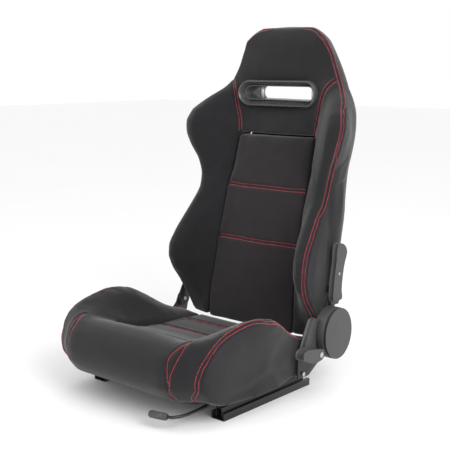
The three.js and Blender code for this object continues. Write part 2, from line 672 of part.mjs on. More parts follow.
function sideBolt() {
  const [inner, outer] = PLATE_LAYER;
  const head = rodX(BOLT.head, [outer + GAP, outer + GAP + 4], SIDE_BOLT.y, SIDE_BOLT.z, 6);
  const shank = rodX(BOLT.radius, [inner - 16, outer + 2], SIDE_BOLT.y, SIDE_BOLT.z);
  return geometryOf(joined(head, shank));
}

function pivotPin() {
  const shank = rodX(PIVOT.pin, [247, PLATE_LAYER[1] + 10], PIVOT.y, PIVOT.z);
  const head = rodX(PIVOT.pin + 4, [PLATE_LAYER[1] + GAP, PLATE_LAYER[1] + 3], PIVOT.y, PIVOT.z);
  return geometryOf(joined(shank, head));
}

function spiralSpring() {
  const turns = 2.5;
  const steps = 30;
  const spiral = (radius) => (i) => {
    const angle = (i / steps) * turns * 2 * Math.PI;
    const reach = radius + (i / steps) * 20;
    return [PIVOT.y + reach * Math.cos(angle), PIVOT.z + reach * Math.sin(angle)];
  };
  const count = [...Array(steps + 1).keys()];
  const outline = [...count.map(spiral(12.5)), ...count.reverse().map(spiral(11))];
  return geometryOf(solid(sidePlate(polygon(outline), [PLATE_LAYER[1] + 3.6, PLATE_LAYER[1] + 10])));
}

function lockPawl() {
  const towards = THREE.MathUtils.degToRad(TOOTH.middleDeg);
  const at = (radius, turn) => {
    const angle = towards + THREE.MathUtils.degToRad(turn);
    return [PIVOT.y + radius * Math.cos(angle), PIVOT.z + radius * Math.sin(angle)];
  };
  const face = TOOTH.tip + 0.6;
  const { y, z } = PAWL_AXIS;
  const outline = polygon([at(face, -9), at(face, 0), at(face, 9), [y + 8, z], [y - 8, z], at(58, -9)]);
  const pad = solid(rodX(PAWL_AXIS.pin + 4, ARM_LAYER, PAWL_AXIS.y, PAWL_AXIS.z));
  const pawl = solid(sidePlate(outline, ARM_LAYER)).add(pad);
  return geometryOf(pawl.subtract(holeX(PAWL_AXIS.pin + 0.3, PAWL_AXIS.y, PAWL_AXIS.z)));
}

function leverShaft() {
  const shaft = rodX(LEVER_AXIS.rod, [ARM_LAYER[0] - 3, 296], LEVER_AXIS.y, LEVER_AXIS.z);
  const cam = rodX(LEVER_AXIS.rod + 4, ARM_LAYER, LEVER_AXIS.y, LEVER_AXIS.z);
  return geometryOf(joined(shaft, cam));
}

function reclineLever() {
  const outline = smoothOutline([
    [17, 118], [20, 128], [32, 132], [60, 129], [88, 124], [104, 118], [108, 106], [102, 95], [88, 91],
    [60, 92], [30, 103], [19, 109],
  ], 28);
  const bevel = { bevelEnabled: true, bevelSize: -3, bevelThickness: 3, bevelSegments: 2, bevelOffset: 0 };
  const handle = solid(sidePlate(outline, [277, 296], bevel));
  return geometryOf(handle.subtract(holeX(LEVER_AXIS.rod + 0.3, LEVER_AXIS.y, LEVER_AXIS.z)));
}

function leverScrew() {
  return geometryOf(solid(rodX(7, [299.2, 300], LEVER_AXIS.y, LEVER_AXIS.z)));
}

function bracketCover() {
  const outline = polygon([
    [47, 108], [52, 120], [89, 193], [97, 196], [121, 192], [115, 182], [107, 163], [106, 140], [108, 122],
    [113, 104], [112, 92], [70, 88], [52, 98],
  ]);
  const inside = polygon([
    [56, 108], [93, 187], [112, 185], [102, 163], [102, 140], [104, 118], [106, 97], [70, 93],
  ]);
  const bevel = { bevelEnabled: true, bevelSize: -3, bevelThickness: 3, bevelSegments: 1 };
  let cover = solid(sidePlate(outline, [262, 270], bevel));
  cover = cover.subtract(solid(sidePlate(inside, [240, 269.5])));
  cover = cover.subtract(holeX(LEVER_AXIS.rod + 3, LEVER_AXIS.y, LEVER_AXIS.z));
  return geometryOf(cover);
}

function discCover() {
  const { y, z, halfDepth, halfHeight, inner, outer, wall } = DISC;
  const round = 9;
  const curve = { curveSegments: 16 };
  const bevel = { bevelEnabled: true, bevelSize: -round, bevelThickness: round, bevelSegments: 2, ...curve };
  const outline = ellipse(y, z, halfDepth, halfHeight);
  const shell = solid(sidePlate(outline, [inner + round, outer - round], bevel));
  const lower = solid(sidePlate(outline, [inner, outer - round], curve));
  const inside = ellipse(y, z, halfDepth - wall, halfHeight - wall);
  const hollow = solid(sidePlate(inside, [0, outer - round - 1], { curveSegments: 14 }));
  return geometryOf(shell.add(lower).subtract(hollow));
}

function armCover() {
  const outline = smoothOutline([
    [203, 368], [221, 371], [240, 360], [247, 343], [237, 318], [229, 284], [225, 245], [228, 222],
    [188, 222], [187, 252], [192, 291], [199, 329],
  ], 24);
  const tongue = polygon([[190, 209], [222, 209], [226, 236], [188, 236]]);
  const bevel = { bevelEnabled: true, bevelSize: -3, bevelThickness: 3, bevelSegments: 2 };
  const cover = solid(sidePlate(outline, [256.5, 265], bevel)).add(solid(sidePlate(tongue, [254, 261])));
  const bolt = rodX(BOLT.head + 1.5, [0, ARM_LAYER[1] + GAP + 5], ARM_BOLT.y, ARM_BOLT.z);
  return geometryOf(cover.subtract(solid(bolt)));
}

function coverScrew() {
  return geometryOf(solid(rodX(4, [268 + GAP, 270], 210, 292, 12)));
}

// ---------------------------------------------------------------- slot trim

function frontBezel() {
  const rim = solid(slotOval(SLOT.halfWidth, SLOT.halfHeight, [200, 400]));
  const opening = solid(slotOval(openingHalfWidth, openingHalfHeight, [200, 400]));
  return geometryOf(rim.intersect(bowedSlab(BEZEL.front, BEZEL.back)).subtract(opening));
}

function rearBezel() {
  const rim = slotOval(SLOT.halfWidth, SLOT.halfHeight, [SLOT.back - 3, SLOT.back + 8]);
  const opening = slotOval(openingHalfWidth, openingHalfHeight, [200, FAR]);
  return geometryOf(solid(rim).subtract(solid(opening)));
}

function slotLiner() {
  const outside = SLOT.wall - GAP;
  const outer = slotOval(openingHalfWidth + outside, openingHalfHeight + outside, [250, SLOT.back - 3 - GAP]);
  const inner = slotOval(openingHalfWidth, openingHalfHeight, [200, FAR]);
  return geometryOf(solid(outer).subtract(solid(inner)).subtract(bowedSlab(200, BEZEL.back + GAP)));
}

function slotPost() {
  const half = openingHalfHeight - 2.4;
  return geometryOf(solid(rodZ(7, [SLOT.z - half, SLOT.z + half], 90, 335, 14)));
}

// ---------------------------------------------------------------- assembly

const seat = new THREE.Group();
seat.position.set(ORIGIN_SHIFT.x, ORIGIN_SHIFT.y, 0);
const assembly = new THREE.Group();
assembly.add(seat);

function add(name, geometry, finish) {
  const mesh = new THREE.Mesh(geometry, new THREE.MeshStandardMaterial(finish));
  mesh.name = name;
  seat.add(mesh);
}

function addPair(name, geometry, finish) {
  add(`${name}_left`, geometry, finish);
  add(`${name}_right`, mirrored(geometry), finish);
}

addPair("lower_rail", lowerRail(), BLACK_STEEL);
addPair("roller_cage", rollerCage(), PLATED_STEEL);
addPair("upper_rail", runner(), BLACK_STEEL);
addPair("rail_bolt_front", railBolt(FIXING_Y[0]), PLATED_STEEL);
addPair("rail_bolt_rear", railBolt(FIXING_Y[1]), PLATED_STEEL);
add("cushion_frame", cushionFrame(), BLACK_STEEL);
add("seat_pan", seatPan(), BLACK_STEEL);
add("cushion_insert", geometryOf(cushionInsert()), PANEL_CLOTH);
add("front_roll", geometryOf(frontRoll()), BLACK_CLOTH);
addPair("cushion_bolster", geometryOf(bolster()), BLACK_CLOTH);

add("recliner_plate_left", basePlate(), BLACK_STEEL);
add("recliner_plate_right", mirrored(plainPlate()), BLACK_STEEL);
addPair("recliner_plate_bolt", sideBolt(), PLATED_STEEL);
addPair("recliner_pivot", pivotPin(), PLATED_STEEL);
add("recliner_spring", spiralSpring(), PLATED_STEEL);
add("bracket_cover", bracketCover(), COVER_PLASTIC);
add("disc_cover", discCover(), COVER_PLASTIC);
add("lock_pawl", lockPawl(), BLACK_STEEL);
add("recline_lever_shaft", leverShaft(), PLATED_STEEL);
add("recline_lever", reclineLever(), COVER_PLASTIC);
add("recline_lever_screw", leverScrew(), PLATED_STEEL);

add("back_frame", geometryOf(backFrame()), BLACK_STEEL);
add("back_insert", geometryOf(backInsert()), PANEL_CLOTH);
add("head_pad", geometryOf(headPad()), BLACK_CLOTH);
addPair("back_wing", geometryOf(wing()), BLACK_CLOTH);
add("back_board", geometryOf(backBoard()), BOARD);
add("slot_bezel_front", frontBezel(), GLOSS_PLASTIC);
add("slot_bezel_rear", rearBezel(), GLOSS_PLASTIC);
add("slot_liner", slotLiner(), GLOSS_PLASTIC);
addPair("slot_post", slotPost(), PLATED_STEEL);
add("recliner_arm_left", reclinerArm(true), BLACK_STEEL);
add("recliner_arm_right", mirrored(reclinerArm(false)), BLACK_STEEL);
addPair("recliner_arm_bolt", armBolt(), PLATED_STEEL);
add("arm_cover", armCover(), COVER_PLASTIC);
add("arm_cover_screw", coverScrew(), PLATED_STEEL);

add("slide_lever", slideLever(), BLACK_STEEL);
add("slide_lever_grip", slideGrip(), GRIP_RUBBER);
add("slide_catch_left", leftCatch(), PLATED_STEEL);
add("slide_catch_right", rightCatch(), PLATED_STEEL);
add("catch_link", catchLink(), PLATED_STEEL);

export default assembly;
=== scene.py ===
import json
import math

import bmesh
import bpy
from bpy.props import FloatProperty, FloatVectorProperty, PointerProperty
from mathutils import Matrix, Vector
from mathutils.bvhtree import BVHTree
from mathutils.kdtree import KDTree


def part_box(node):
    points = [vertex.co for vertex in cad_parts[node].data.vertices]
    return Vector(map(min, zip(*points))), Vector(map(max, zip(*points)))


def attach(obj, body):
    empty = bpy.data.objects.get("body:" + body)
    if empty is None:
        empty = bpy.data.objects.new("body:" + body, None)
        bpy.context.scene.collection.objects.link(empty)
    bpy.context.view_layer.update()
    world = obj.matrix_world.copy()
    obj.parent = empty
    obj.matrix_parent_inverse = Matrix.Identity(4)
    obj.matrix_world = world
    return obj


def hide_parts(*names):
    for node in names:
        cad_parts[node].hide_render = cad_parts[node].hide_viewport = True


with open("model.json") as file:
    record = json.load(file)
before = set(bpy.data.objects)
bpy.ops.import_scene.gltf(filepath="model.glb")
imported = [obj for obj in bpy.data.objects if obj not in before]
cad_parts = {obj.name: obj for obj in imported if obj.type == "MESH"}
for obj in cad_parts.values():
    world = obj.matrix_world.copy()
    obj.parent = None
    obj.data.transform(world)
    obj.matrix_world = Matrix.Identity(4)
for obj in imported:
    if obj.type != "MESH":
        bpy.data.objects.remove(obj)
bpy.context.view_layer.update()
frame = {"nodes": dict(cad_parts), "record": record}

bl_info = {
    "name": "Racing seat",
    "version": (1, 0, 0),
    "blender": (4, 5, 0),
    "location": "3D View > Sidebar > Seat",
    "description": "Covers, stitching, trim and finishes for a reclining racing seat on slide rails",
    "category": "Object",
}

MM = 0.001
SIDES = {"left": 1, "right": -1}


def middle_plane():
    low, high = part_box("back_insert")
    return (low.x + high.x) / 2


MIDDLE = middle_plane()  # the lever side stands out further, so the seat's middle is not the origin

# Seams of the left half in millimetres, x from the middle plane. Each is laid on the cover below it.
BACK_SEAM = [
    (62, 296, 930), (98, 292, 926), (118, 287, 916), (136, 285, 902), (154, 291, 871), (170, 292, 829),
    (189, 284, 788), (210, 263, 762), (236, 233, 738), (259, 204, 714), (273, 186, 690), (279, 178, 665),
    (274, 174, 630), (255, 181, 593), (235, 189, 552), (226, 187, 515), (222, 177, 474), (228, 141, 429),
    (234, 113, 395), (242, 84, 358), (248, 66, 318), (244, 67, 274), (233, 91, 228), (223, 133, 177),
    (219, 146, 140),
]
HEAD_SEAM = [
    (190, 280, 795), (170, 261, 780), (154, 253, 751),
    (144, 254, 714), (134, 256, 668), (131, 257, 640),
]
CUSHION_SEAM = [
    (214, -312, 50), (218, -322, 66), (234, -333, 96), (241, -335, 120), (248, -324, 155), (255, -298, 187),
    (257, -256, 213), (258, -206, 228), (260, -150, 234), (266, -110, 230), (262, -79, 220), (250, -39, 201),
    (243, 1, 177), (236, 41, 158), (232, 81, 145), (230, 112, 138),
]
GUSSET_INNER = [
    (186, -292, 194), (176, -332, 191), (172, -348, 185), (174, -360, 172),
    (178, -367, 150), (181, -371, 124),
    (180, -370, 106),
]
GUSSET_OUTER = [(186, -292, 194), (190, -330, 180), (188, -350, 158), (184, -364, 132), (180, -370, 106)]
GUSSET_STEM = [(180, -370, 106), (180, -364, 84), (181, -346, 58)]
BACK_BANDS = [(347, 138), (493, 134)]  # height and half width
CUSHION_BANDS = [(-59, 140), (36, 140)]  # place along Y and half width


# ---------------------------------------------------------------- settings


class SeatPadSettings(bpy.types.PropertyGroup):
    voxel: FloatProperty(name="Voxel", description="Cell size of the padded covers",
        default=0.0055, unit="LENGTH")
    start: FloatProperty(name="Start", description="How far a pad shrinks before it swells",
        default=0.0025, unit="LENGTH")
    swell: FloatProperty(name="Swell", description="Most that a point of a pad may move",
        default=0.004, unit="LENGTH")
    pressure: FloatProperty(name="Pressure", description="Air pressure that fills the pads", default=4.0)
    groove: FloatProperty(name="Groove", description="Depth of the seams", default=0.0028, unit="LENGTH")
    spread: FloatProperty(name="Spread", description="Half width of the seams", default=0.0042, unit="LENGTH")


class SeatStitchSettings(bpy.types.PropertyGroup):
    length: FloatProperty(name="Stitch", description="Length of one stitch", default=0.0044, unit="LENGTH")
    pitch: FloatProperty(name="Pitch", description="From one stitch to the next",
        default=0.0056, unit="LENGTH")
    thread: FloatProperty(name="Thread", description="Half width of the thread",
        default=0.00085, unit="LENGTH")
    rows: FloatProperty(name="Rows", description="Distance between two rows", default=0.0105, unit="LENGTH")
    colour: FloatVectorProperty(name="Thread", description="Colour of the thread",
        default=(0.5, 0.022, 0.045),
                                subtype="COLOR")


class SeatFinishSettings(bpy.types.PropertyGroup):
    cloth: FloatVectorProperty(name="Cloth", description="Colour of the outer cloth",
        default=(0.0105, 0.0101, 0.0116),
                               subtype="COLOR")
    panel: FloatVectorProperty(name="Panel", description="Colour of the middle panels",
        default=(0.0145, 0.0118, 0.0138),
                               subtype="COLOR")
    plastic: FloatVectorProperty(name="Plastic", description="Colour of the covers",
        default=(0.05, 0.05, 0.052),
                                 subtype="COLOR")
    weave: FloatProperty(name="Weave", description="Distance between two yarns",
        default=0.0011, unit="LENGTH")


class SeatStageSettings(bpy.types.PropertyGroup):
    camera: FloatVectorProperty(name="Camera", description="Place of the camera",
        default=(1.573, -1.774, 0.829),
                                subtype="TRANSLATION", unit="LENGTH")
    azimuth: FloatProperty(name="Azimuth", description="Turn of the view about the seat",
        default=math.radians(41.16),
                           subtype="ANGLE")
    elevation: FloatProperty(name="Elevation", description="Fall of the view", default=math.radians(9.91),
                             subtype="ANGLE")
    lens: FloatProperty(name="Lens", description="Focal length in millimetres", default=73.68)
    key: FloatProperty(name="Key light", description="Power of the large light", default=52.0, unit="POWER")
    fill: FloatProperty(name="Fill light", description="Power of the small light", default=7.0, unit="POWER")
    daylight: FloatProperty(name="Daylight", description="Strength of the white surroundings", default=1.0)


# ---------------------------------------------------------------- shader maths


class Wire:
    """A socket with arithmetic: each sum or product adds a Math node."""

    def __init__(self, finish, socket):
        self.finish = finish
        self.socket = socket

    def math(self, operation, *values):
        return self.finish.add("ShaderNodeMath", {"operation": operation}, dict(enumerate(values)))

    def __add__(self, other):
        return self.math("ADD", self, other)

    def __sub__(self, other):
        return self.math("SUBTRACT", self, other)

    def __rsub__(self, other):
        return self.math("SUBTRACT", other, self)

    def __mul__(self, other):
        return self.math("MULTIPLY", self, other)

    def __pow__(self, other):
        return self.math("POWER", self, other)

    __radd__ = __add__
    __rmul__ = __mul__

    def sine(self):
        return self.math("SINE", self)

    def above(self, low, high):
        """0 below low, 1 above high, smooth between them."""
        settings = {"interpolation_type": "SMOOTHSTEP"}
        inputs = {"Value": self, "From Min": low, "From Max": high}
        return self.finish.add("ShaderNodeMapRange", settings, inputs)


class Finish:
    """A procedural material: one shader, its maths and its bumps."""

    def __init__(self, name, **constants):
        self.material = bpy.data.materials.new(name)
        self.material.use_nodes = True
        self.tree = self.material.node_tree
        self.shader = self.tree.nodes["Principled BSDF"]
        for socket, value in constants.items():
            self.shader.inputs[socket.replace("_", " ")].default_value = value
        self.place = self.add("ShaderNodeTexCoord", output="Object")

    def add(self, kind, settings=None, inputs=None, output=0):
        node = self.tree.nodes.new(kind)
        for name, value in (settings or {}).items():
            setattr(node, name, value)
        for name, value in (inputs or {}).items():
            self.feed(node.inputs[name], value)
        return Wire(self, node.outputs[output])

    def feed(self, socket, value):
        if isinstance(value, Wire):
            self.tree.links.new(value.socket, socket)
        else:
            socket.default_value = value

    def noise(self, scale, detail=2.0, roughness=0.5):
        values = {"Vector": self.place, "Scale": scale, "Detail": detail, "Roughness": roughness}
        return self.add("ShaderNodeTexNoise", None, values)

    def axes(self):
        split = self.add("ShaderNodeSeparateXYZ", None, {"Vector": self.place})
        node = split.socket.node
        return [Wire(self, node.outputs[axis]) for axis in "XYZ"]

    def blend(self, factor, first, second):
        """A colour between two colours."""
        node = self.tree.nodes.new("ShaderNodeMix")
        node.data_type = "RGBA"
        self.feed(node.inputs["Factor"], factor)
        for socket, value in zip([s for s in node.inputs if s.type == "RGBA"], (first, second)):
            self.feed(socket, value if isinstance(value, Wire) else (*value, 1))
        return Wire(self, next(s for s in node.outputs if s.type == "RGBA"))

    def bump(self, height, distance, strength=1.0):
        values = {"Height": height, "Distance": distance, "Strength": strength}
        self.show("Normal", self.add("ShaderNodeBump", None, values))

    def show(self, socket, value):
        self.feed(self.shader.inputs[socket], value)


def shaded(colour, factor):
    return tuple(part * factor for part in colour)


def woven_cloth(name, colour, yarn):
    """Tightly woven polyester: crossing yarns, loose fibres and a faint bloom of lint."""
    cloth = Finish(name, Sheen_Weight=0.25, Sheen_Roughness=0.45, Specular_IOR_Level=0.25)
    x, y, z = cloth.axes()
    turns = 2 * math.pi / yarn
    warp = ((x + y) * turns).sine() * (z * turns).sine()
    weft = ((x - y) * turns * 0.5).sine() * (z * turns * 0.5).sine()
    fibre = cloth.noise(1500, 3)
    lint = cloth.noise(28, 5, 0.65)
    tone = warp * 0.14 + fibre * 0.55 + lint * 0.5
    cloth.show("Base Color", cloth.blend(tone.above(0.2, 0.95), shaded(colour, 0.62), shaded(colour, 1.5)))
    cloth.show("Roughness", 0.78 + fibre * 0.2)
    cloth.bump(warp * 0.35 + weft * 0.15 + fibre * 0.5, 0.00035, 0.55)
    return cloth.material


def sewing_thread(name, colour):
    """Twisted polyester thread with a slight shine."""
    thread = Finish(name, Sheen_Weight=0.3, Specular_IOR_Level=0.4)
    x, y, z = thread.axes()
    twist = ((x + y + z) * (2 * math.pi / 0.0009)).sine()
    wear = thread.noise(60, 3)
    thread.show("Base Color", thread.blend(wear.above(0.3, 0.75), shaded(colour, 0.8), shaded(colour, 1.35)))
    thread.show("Roughness", 0.5 + wear * 0.25)
    thread.bump(twist, 0.0001, 0.4)
    return thread.material


def moulded_plastic(name, colour, roughness, grain):
    """Injection-moulded plastic with a fine etched grain and handling marks."""
    plastic = Finish(name, Specular_IOR_Level=0.5)
    etch = plastic.noise(grain, 3, 0.6)
    handling = plastic.noise(17, 4, 0.6)
    tones = (shaded(colour, 0.9), shaded(colour, 1.12))
    plastic.show("Base Color", plastic.blend(handling.above(0.3, 0.8), *tones))
    plastic.show("Roughness", (roughness - 0.06) + handling * 0.12 + etch * 0.04)
    plastic.bump(etch, 0.00015, 0.5)
    return plastic.material


def painted_steel(name, colour):
    """Black powder coat: an orange-peel skin that is rubbed to grey in a few spots."""
    paint = Finish(name, Specular_IOR_Level=0.5)
    peel = paint.noise(320, 2)
    rub = paint.noise(45, 6, 0.7).above(0.62, 0.74)
    paint.show("Base Color", paint.blend(rub, colour, shaded(colour, 3.2)))
    paint.show("Roughness", 0.34 + peel * 0.14 + rub * 0.12)
    paint.show("Metallic", rub * 0.5 + 0.1)
    paint.bump(peel, 0.0002, 0.35)
    return paint.material


def plated_steel(name, colour):
    """Zinc plate: cool, slightly blotched and finely brushed."""
    plate = Finish(name, Metallic=1.0)
    x, _, z = plate.axes()
    brushing = ((x + z) * 4200).sine() * 0.5 + 0.5
    blotch = plate.noise(36, 5, 0.6)
    plate.show("Base Color", plate.blend(blotch.above(0.3, 0.7), shaded(colour, 0.78), shaded(colour, 1.12)))
    plate.show("Roughness", 0.24 + blotch * 0.22 + brushing * 0.05)
    plate.bump(brushing, 0.00005, 0.3)
    return plate.material


def grip_rubber(name, colour):
    """Soft rubber with a dusty surface."""
    rubber = Finish(name, Specular_IOR_Level=0.35)
    dust = rubber.noise(90, 5, 0.7)
    skin = rubber.noise(900, 2)
    rubber.show("Base Color", rubber.blend(dust.above(0.35, 0.75), colour, shaded(colour, 1.9)))
    rubber.show("Roughness", 0.6 + dust * 0.25)
    rubber.bump(skin, 0.0002, 0.5)
    return rubber.material


def studio_white(name):
    """Matte pale floor with a trace of unevenness."""
    floor = Finish(name, Specular_IOR_Level=0.2)
    cloud = floor.noise(1.5, 2)
    floor.show("Base Color", floor.blend(cloud, (0.93, 0.93, 0.93), (0.95, 0.95, 0.95)))
    floor.show("Roughness", 0.8 + cloud * 0.1)
    return floor.material


FINISHES = {}


def make_finishes(settings, stitches):
    FINISHES["black_cloth"] = woven_cloth("black cloth", settings.cloth, settings.weave)
    FINISHES["panel_cloth"] = woven_cloth("panel cloth", settings.panel, settings.weave * 1.4)
    FINISHES["back_board"] = woven_cloth("back cloth", shaded(settings.cloth, 0.8), settings.weave * 1.8)
    FINISHES["cover_plastic"] = moulded_plastic("cover plastic", settings.plastic, 0.5, 700)
    FINISHES["gloss_plastic"] = moulded_plastic("gloss plastic", (0.06, 0.06, 0.063), 0.26, 160)
    FINISHES["painted_steel"] = painted_steel("painted steel", (0.012, 0.012, 0.013))
    FINISHES["plated_steel"] = plated_steel("plated steel", (0.5, 0.5, 0.52))
    FINISHES["grip_rubber"] = grip_rubber("grip rubber", (0.05, 0.05, 0.052))
    FINISHES["thread"] = sewing_thread("sewing thread", stitches.colour)
    FINISHES["floor"] = studio_white("studio floor")


# ---------------------------------------------------------------- mesh helpers


BODY = {node: body for body, nodes in frame["record"]["behaviour"]["bodies"].items() for node in nodes}
SLOT = {part["node"]: part["material_slot"] for part in frame["record"]["subparts"]}
MERGE = 1e-5


def merged(*nodes):
    """CAD nodes as one bmesh whose loose triangles are merged."""
    bm = bmesh.new()
    for node in nodes:
        bm.from_mesh(frame["nodes"][node].data)
    bmesh.ops.remove_doubles(bm, verts=bm.verts, dist=MERGE)
    bm.normal_update()
    return bm


def shade(bm, sharp=math.radians(38)):
    """Smooth shading, with a crease along every edge sharper than the given angle."""
    for face in bm.faces:
        face.smooth = True
    for edge in bm.edges:
        edge.smooth = edge.calc_face_angle(0) < sharp


def piece(bm, name, node, slot=None, finish=None):
    """An object from a bmesh, riding with a CAD node and finished like it."""
    mesh = bpy.data.meshes.new(name)
    bm.to_mesh(mesh)
    bm.free()
    made = bpy.data.objects.new(name, mesh)
    bpy.context.scene.collection.objects.link(made)
    mesh.materials.append(FINISHES[finish or slot or SLOT[node]])
    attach(made, BODY[node])
    return made


def applied(made):
    """The object's mesh with its modifiers applied."""
    graph = bpy.context.evaluated_depsgraph_get()
    finished = bpy.data.meshes.new_from_object(made.evaluated_get(graph))
    made.modifiers.clear()
    made.data = finished
    return made


def rewrite(made, shape):
    """Runs a bmesh edit on the object's mesh."""
    bm = bmesh.new()
    bm.from_mesh(made.data)
    shape(bm)
    bm.to_mesh(made.data)
    bm.free()


def rim_edges(bm, steep=math.radians(30)):
    return [edge for edge in bm.edges if edge.calc_face_angle(0) > steep]


def rounded(bm, edges, offset, segments):
    bmesh.ops.bevel(bm, geom=edges, offset=offset, offset_type="OFFSET", segments=segments, profile=0.5,
                    affect="EDGES", clamp_overlap=True, material=-1)


def softened(node, edge_round, segments=2):
    """A copy of a CAD node with its flats cleaned up and its edges rounded."""
    bm = merged(node)
    bmesh.ops.dissolve_limit(bm, angle_limit=math.radians(1.5), verts=bm.verts, edges=bm.edges)
    rounded(bm, rim_edges(bm), edge_round, segments)
    shade(bm)
    made = piece(bm, f"{node}_finished", node)
    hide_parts(node)
    return made


def smooth_path(points, spacing):
    """Evenly spaced points on a smooth curve through the given ones."""
    ends = [2 * points[0] - points[1], *points, 2 * points[-1] - points[-2]]
    fine = []
    for a, b, c, d in zip(ends, ends[1:], ends[2:], ends[3:]):
        for step in range(20):
            t = step / 20
            fine.append(0.5 * (2 * b + (c - a) * t + (2 * a - 5 * b + 4 * c - d) * t * t
                               + (3 * b - a - 3 * c + d) * t ** 3))
    fine.append(points[-1])
    path = [fine[0]]
    for at in fine:
        while (at - path[-1]).length >= spacing:
            path.append(path[-1] + (at - path[-1]).normalized() * spacing)
    return path


# ---------------------------------------------------------------- padded covers


TUNNEL = 0.0235  # the bores for the steel frame are narrower than this


def outside_of(node):
    """A CAD pad without the bores that the steel frame runs in."""
    bm = merged(node)
    tree = BVHTree.FromBMesh(bm)
    inner = []
    for face in bm.faces:
        start = face.calc_center_median() + face.normal * 1e-4
        if tree.ray_cast(start, face.normal, TUNNEL)[0] is not None:
            inner.append(face)
    bmesh.ops.delete(bm, geom=inner, context="FACES")
    rim = [edge for edge in bm.edges if edge.is_boundary]
    bmesh.ops.holes_fill(bm, edges=rim, sides=0)
    bmesh.ops.triangulate(bm, faces=[face for face in bm.faces if len(face.verts) > 3])
    bmesh.ops.recalc_face_normals(bm, faces=bm.faces)
    return bm


def keep_largest(bm):
    """Deletes every island but the one with the most corners."""
    left = set(bm.verts)
    islands = []
    while left:
        island = set()
        front = [left.pop()]
        while front:
            vert = front.pop()
            island.add(vert)
            for edge in vert.link_edges:
                other = edge.other_vert(vert)
                if other in left:
                    left.discard(other)
                    front.append(other)
        islands.append(island)
    islands.sort(key=len)
    for island in islands[:-1]:
        bmesh.ops.delete(bm, geom=list(island), context="VERTS")


def relaxed(bm, rounds):
    for _ in range(rounds):
        bmesh.ops.smooth_vert(
            bm, verts=bm.verts, factor=0.5, use_axis_x=True, use_axis_y=True, use_axis_z=True
        )


def even_skin(name, nodes, voxel, rounds, shrink):
    """One evenly meshed skin over CAD pads, with soft edges and slightly smaller than they are."""
    joint = bmesh.new()
    for node in nodes:
        part = outside_of(node)
        mesh = bpy.data.meshes.new("part")
        part.to_mesh(mesh)
        part.free()
        joint.from_mesh(mesh)
        bpy.data.meshes.remove(mesh)
    made = piece(joint, name, nodes[0])
    remesh = made.modifiers.new("Voxels", "REMESH")
    remesh.mode = "VOXEL"
    remesh.voxel_size = voxel
    applied(made)

    def settle(bm):
        keep_largest(bm)
        relaxed(bm, rounds)
        bm.normal_update()
        moves = [(vert, vert.normal * shrink) for vert in bm.verts]
        for vert, move in moves:
            vert.co -= move

    rewrite(made, settle)
    return made


def swell(made, pads, held):
    """Fills a skin with air. held(point) says which points stay where they are."""
    before = [vert.co.copy() for vert in made.data.vertices]
    pins = made.vertex_groups.new(name="pins")
    pins.add([i for i, co in enumerate(before) if held(co)], 1.0, "REPLACE")
    cloth = made.modifiers.new("Air", "CLOTH")
    cloth.settings.vertex_group_mass = "pins"
    cloth.settings.use_pressure = True
    cloth.settings.uniform_pressure_force = pads.pressure
    cloth.settings.effector_weights.gravity = 0
    cloth.settings.quality = 4
    for step in range(1, 21):
        bpy.context.scene.frame_set(step)
    applied(made)
    bpy.context.scene.frame_set(1)
    for vert, start in zip(made.data.vertices, before):
        move = vert.co - start
        if move.length > pads.swell:
            vert.co = start + move * (pads.swell / move.length)
    made.vertex_groups.clear()
    rewrite(made, lambda bm: relaxed(bm, 3))


def finer(made):
    """One level of subdivision, applied."""
    level = made.modifiers.new("Finer", "SUBSURF")
    level.levels = level.render_levels = 1
    applied(made)


def evened(points, rounds):
    """The points with their jitter taken out; the ends stay."""
    for _ in range(rounds):
        inner = [(a + 2 * b + c) / 4 for a, b, c in zip(points, points[1:], points[2:])]
        points = [points[0], *inner, points[-1]]
    return points


def on_skin(tree, path):
    """Path points moved onto a skin, each with the skin's normal there, without jitter."""
    nearest = evened([tree.find_nearest(at)[0] for at in path], 110)
    laid = [tree.find_nearest(at) for at in nearest]
    normals = evened([normal for _, normal, _, _ in laid], 12)
    return [(place, normal.normalized()) for (place, _, _, _), normal in zip(laid, normals)]


def skin_tree(made):
    return BVHTree.FromPolygons([v.co for v in made.data.vertices], [p.vertices for p in made.data.polygons])


def near_paths(paths):
    """A lookup of the distance to the nearest point of any path."""
    points = [at for path in paths for at in path]
    lookup = KDTree(len(points))
    for i, at in enumerate(points):
        lookup.insert(at, i)
    lookup.balance()
    return lookup


def press_seams(made, paths, depth, spread):
    """Presses a groove along each seam, a little deeper at every few stitches."""
    tree = skin_tree(made)
    laid = [[place for place, _ in on_skin(tree, path)] for path in paths]
    lookup = near_paths(laid)
    normals = [vert.normal.copy() for vert in made.data.vertices]
    for vert, normal in zip(made.data.vertices, normals):
        _, index, distance = lookup.find(vert.co)
        if distance < 4 * spread:
            pull = 1 + 0.18 * math.sin(index * 0.35)
            groove = math.exp(-((distance / spread) ** 2))
            shoulder = 0.22 * math.exp(-(((distance - 2.4 * spread) / spread) ** 2))
            vert.co -= normal * depth * (groove * pull - shoulder)


def seam_path(points, side=1, spacing=0.002):
    return smooth_path([Vector((MIDDLE + x * side * MM, y * MM, z * MM)) for x, y, z in points], spacing)


def both_sides(points):
    return [seam_path(points, side) for side in SIDES.values()]


def band_paths(bands, across):
    """Straight seams from side to side; across(x, place) gives a point near the panel."""
    paths = []
    for place, half in bands:
        steps = range(-half, half + 1, 4)
        paths.append(smooth_path([across(MIDDLE + x * MM, place * MM) for x in steps], 0.002))
    return paths


HANDFUL = 24


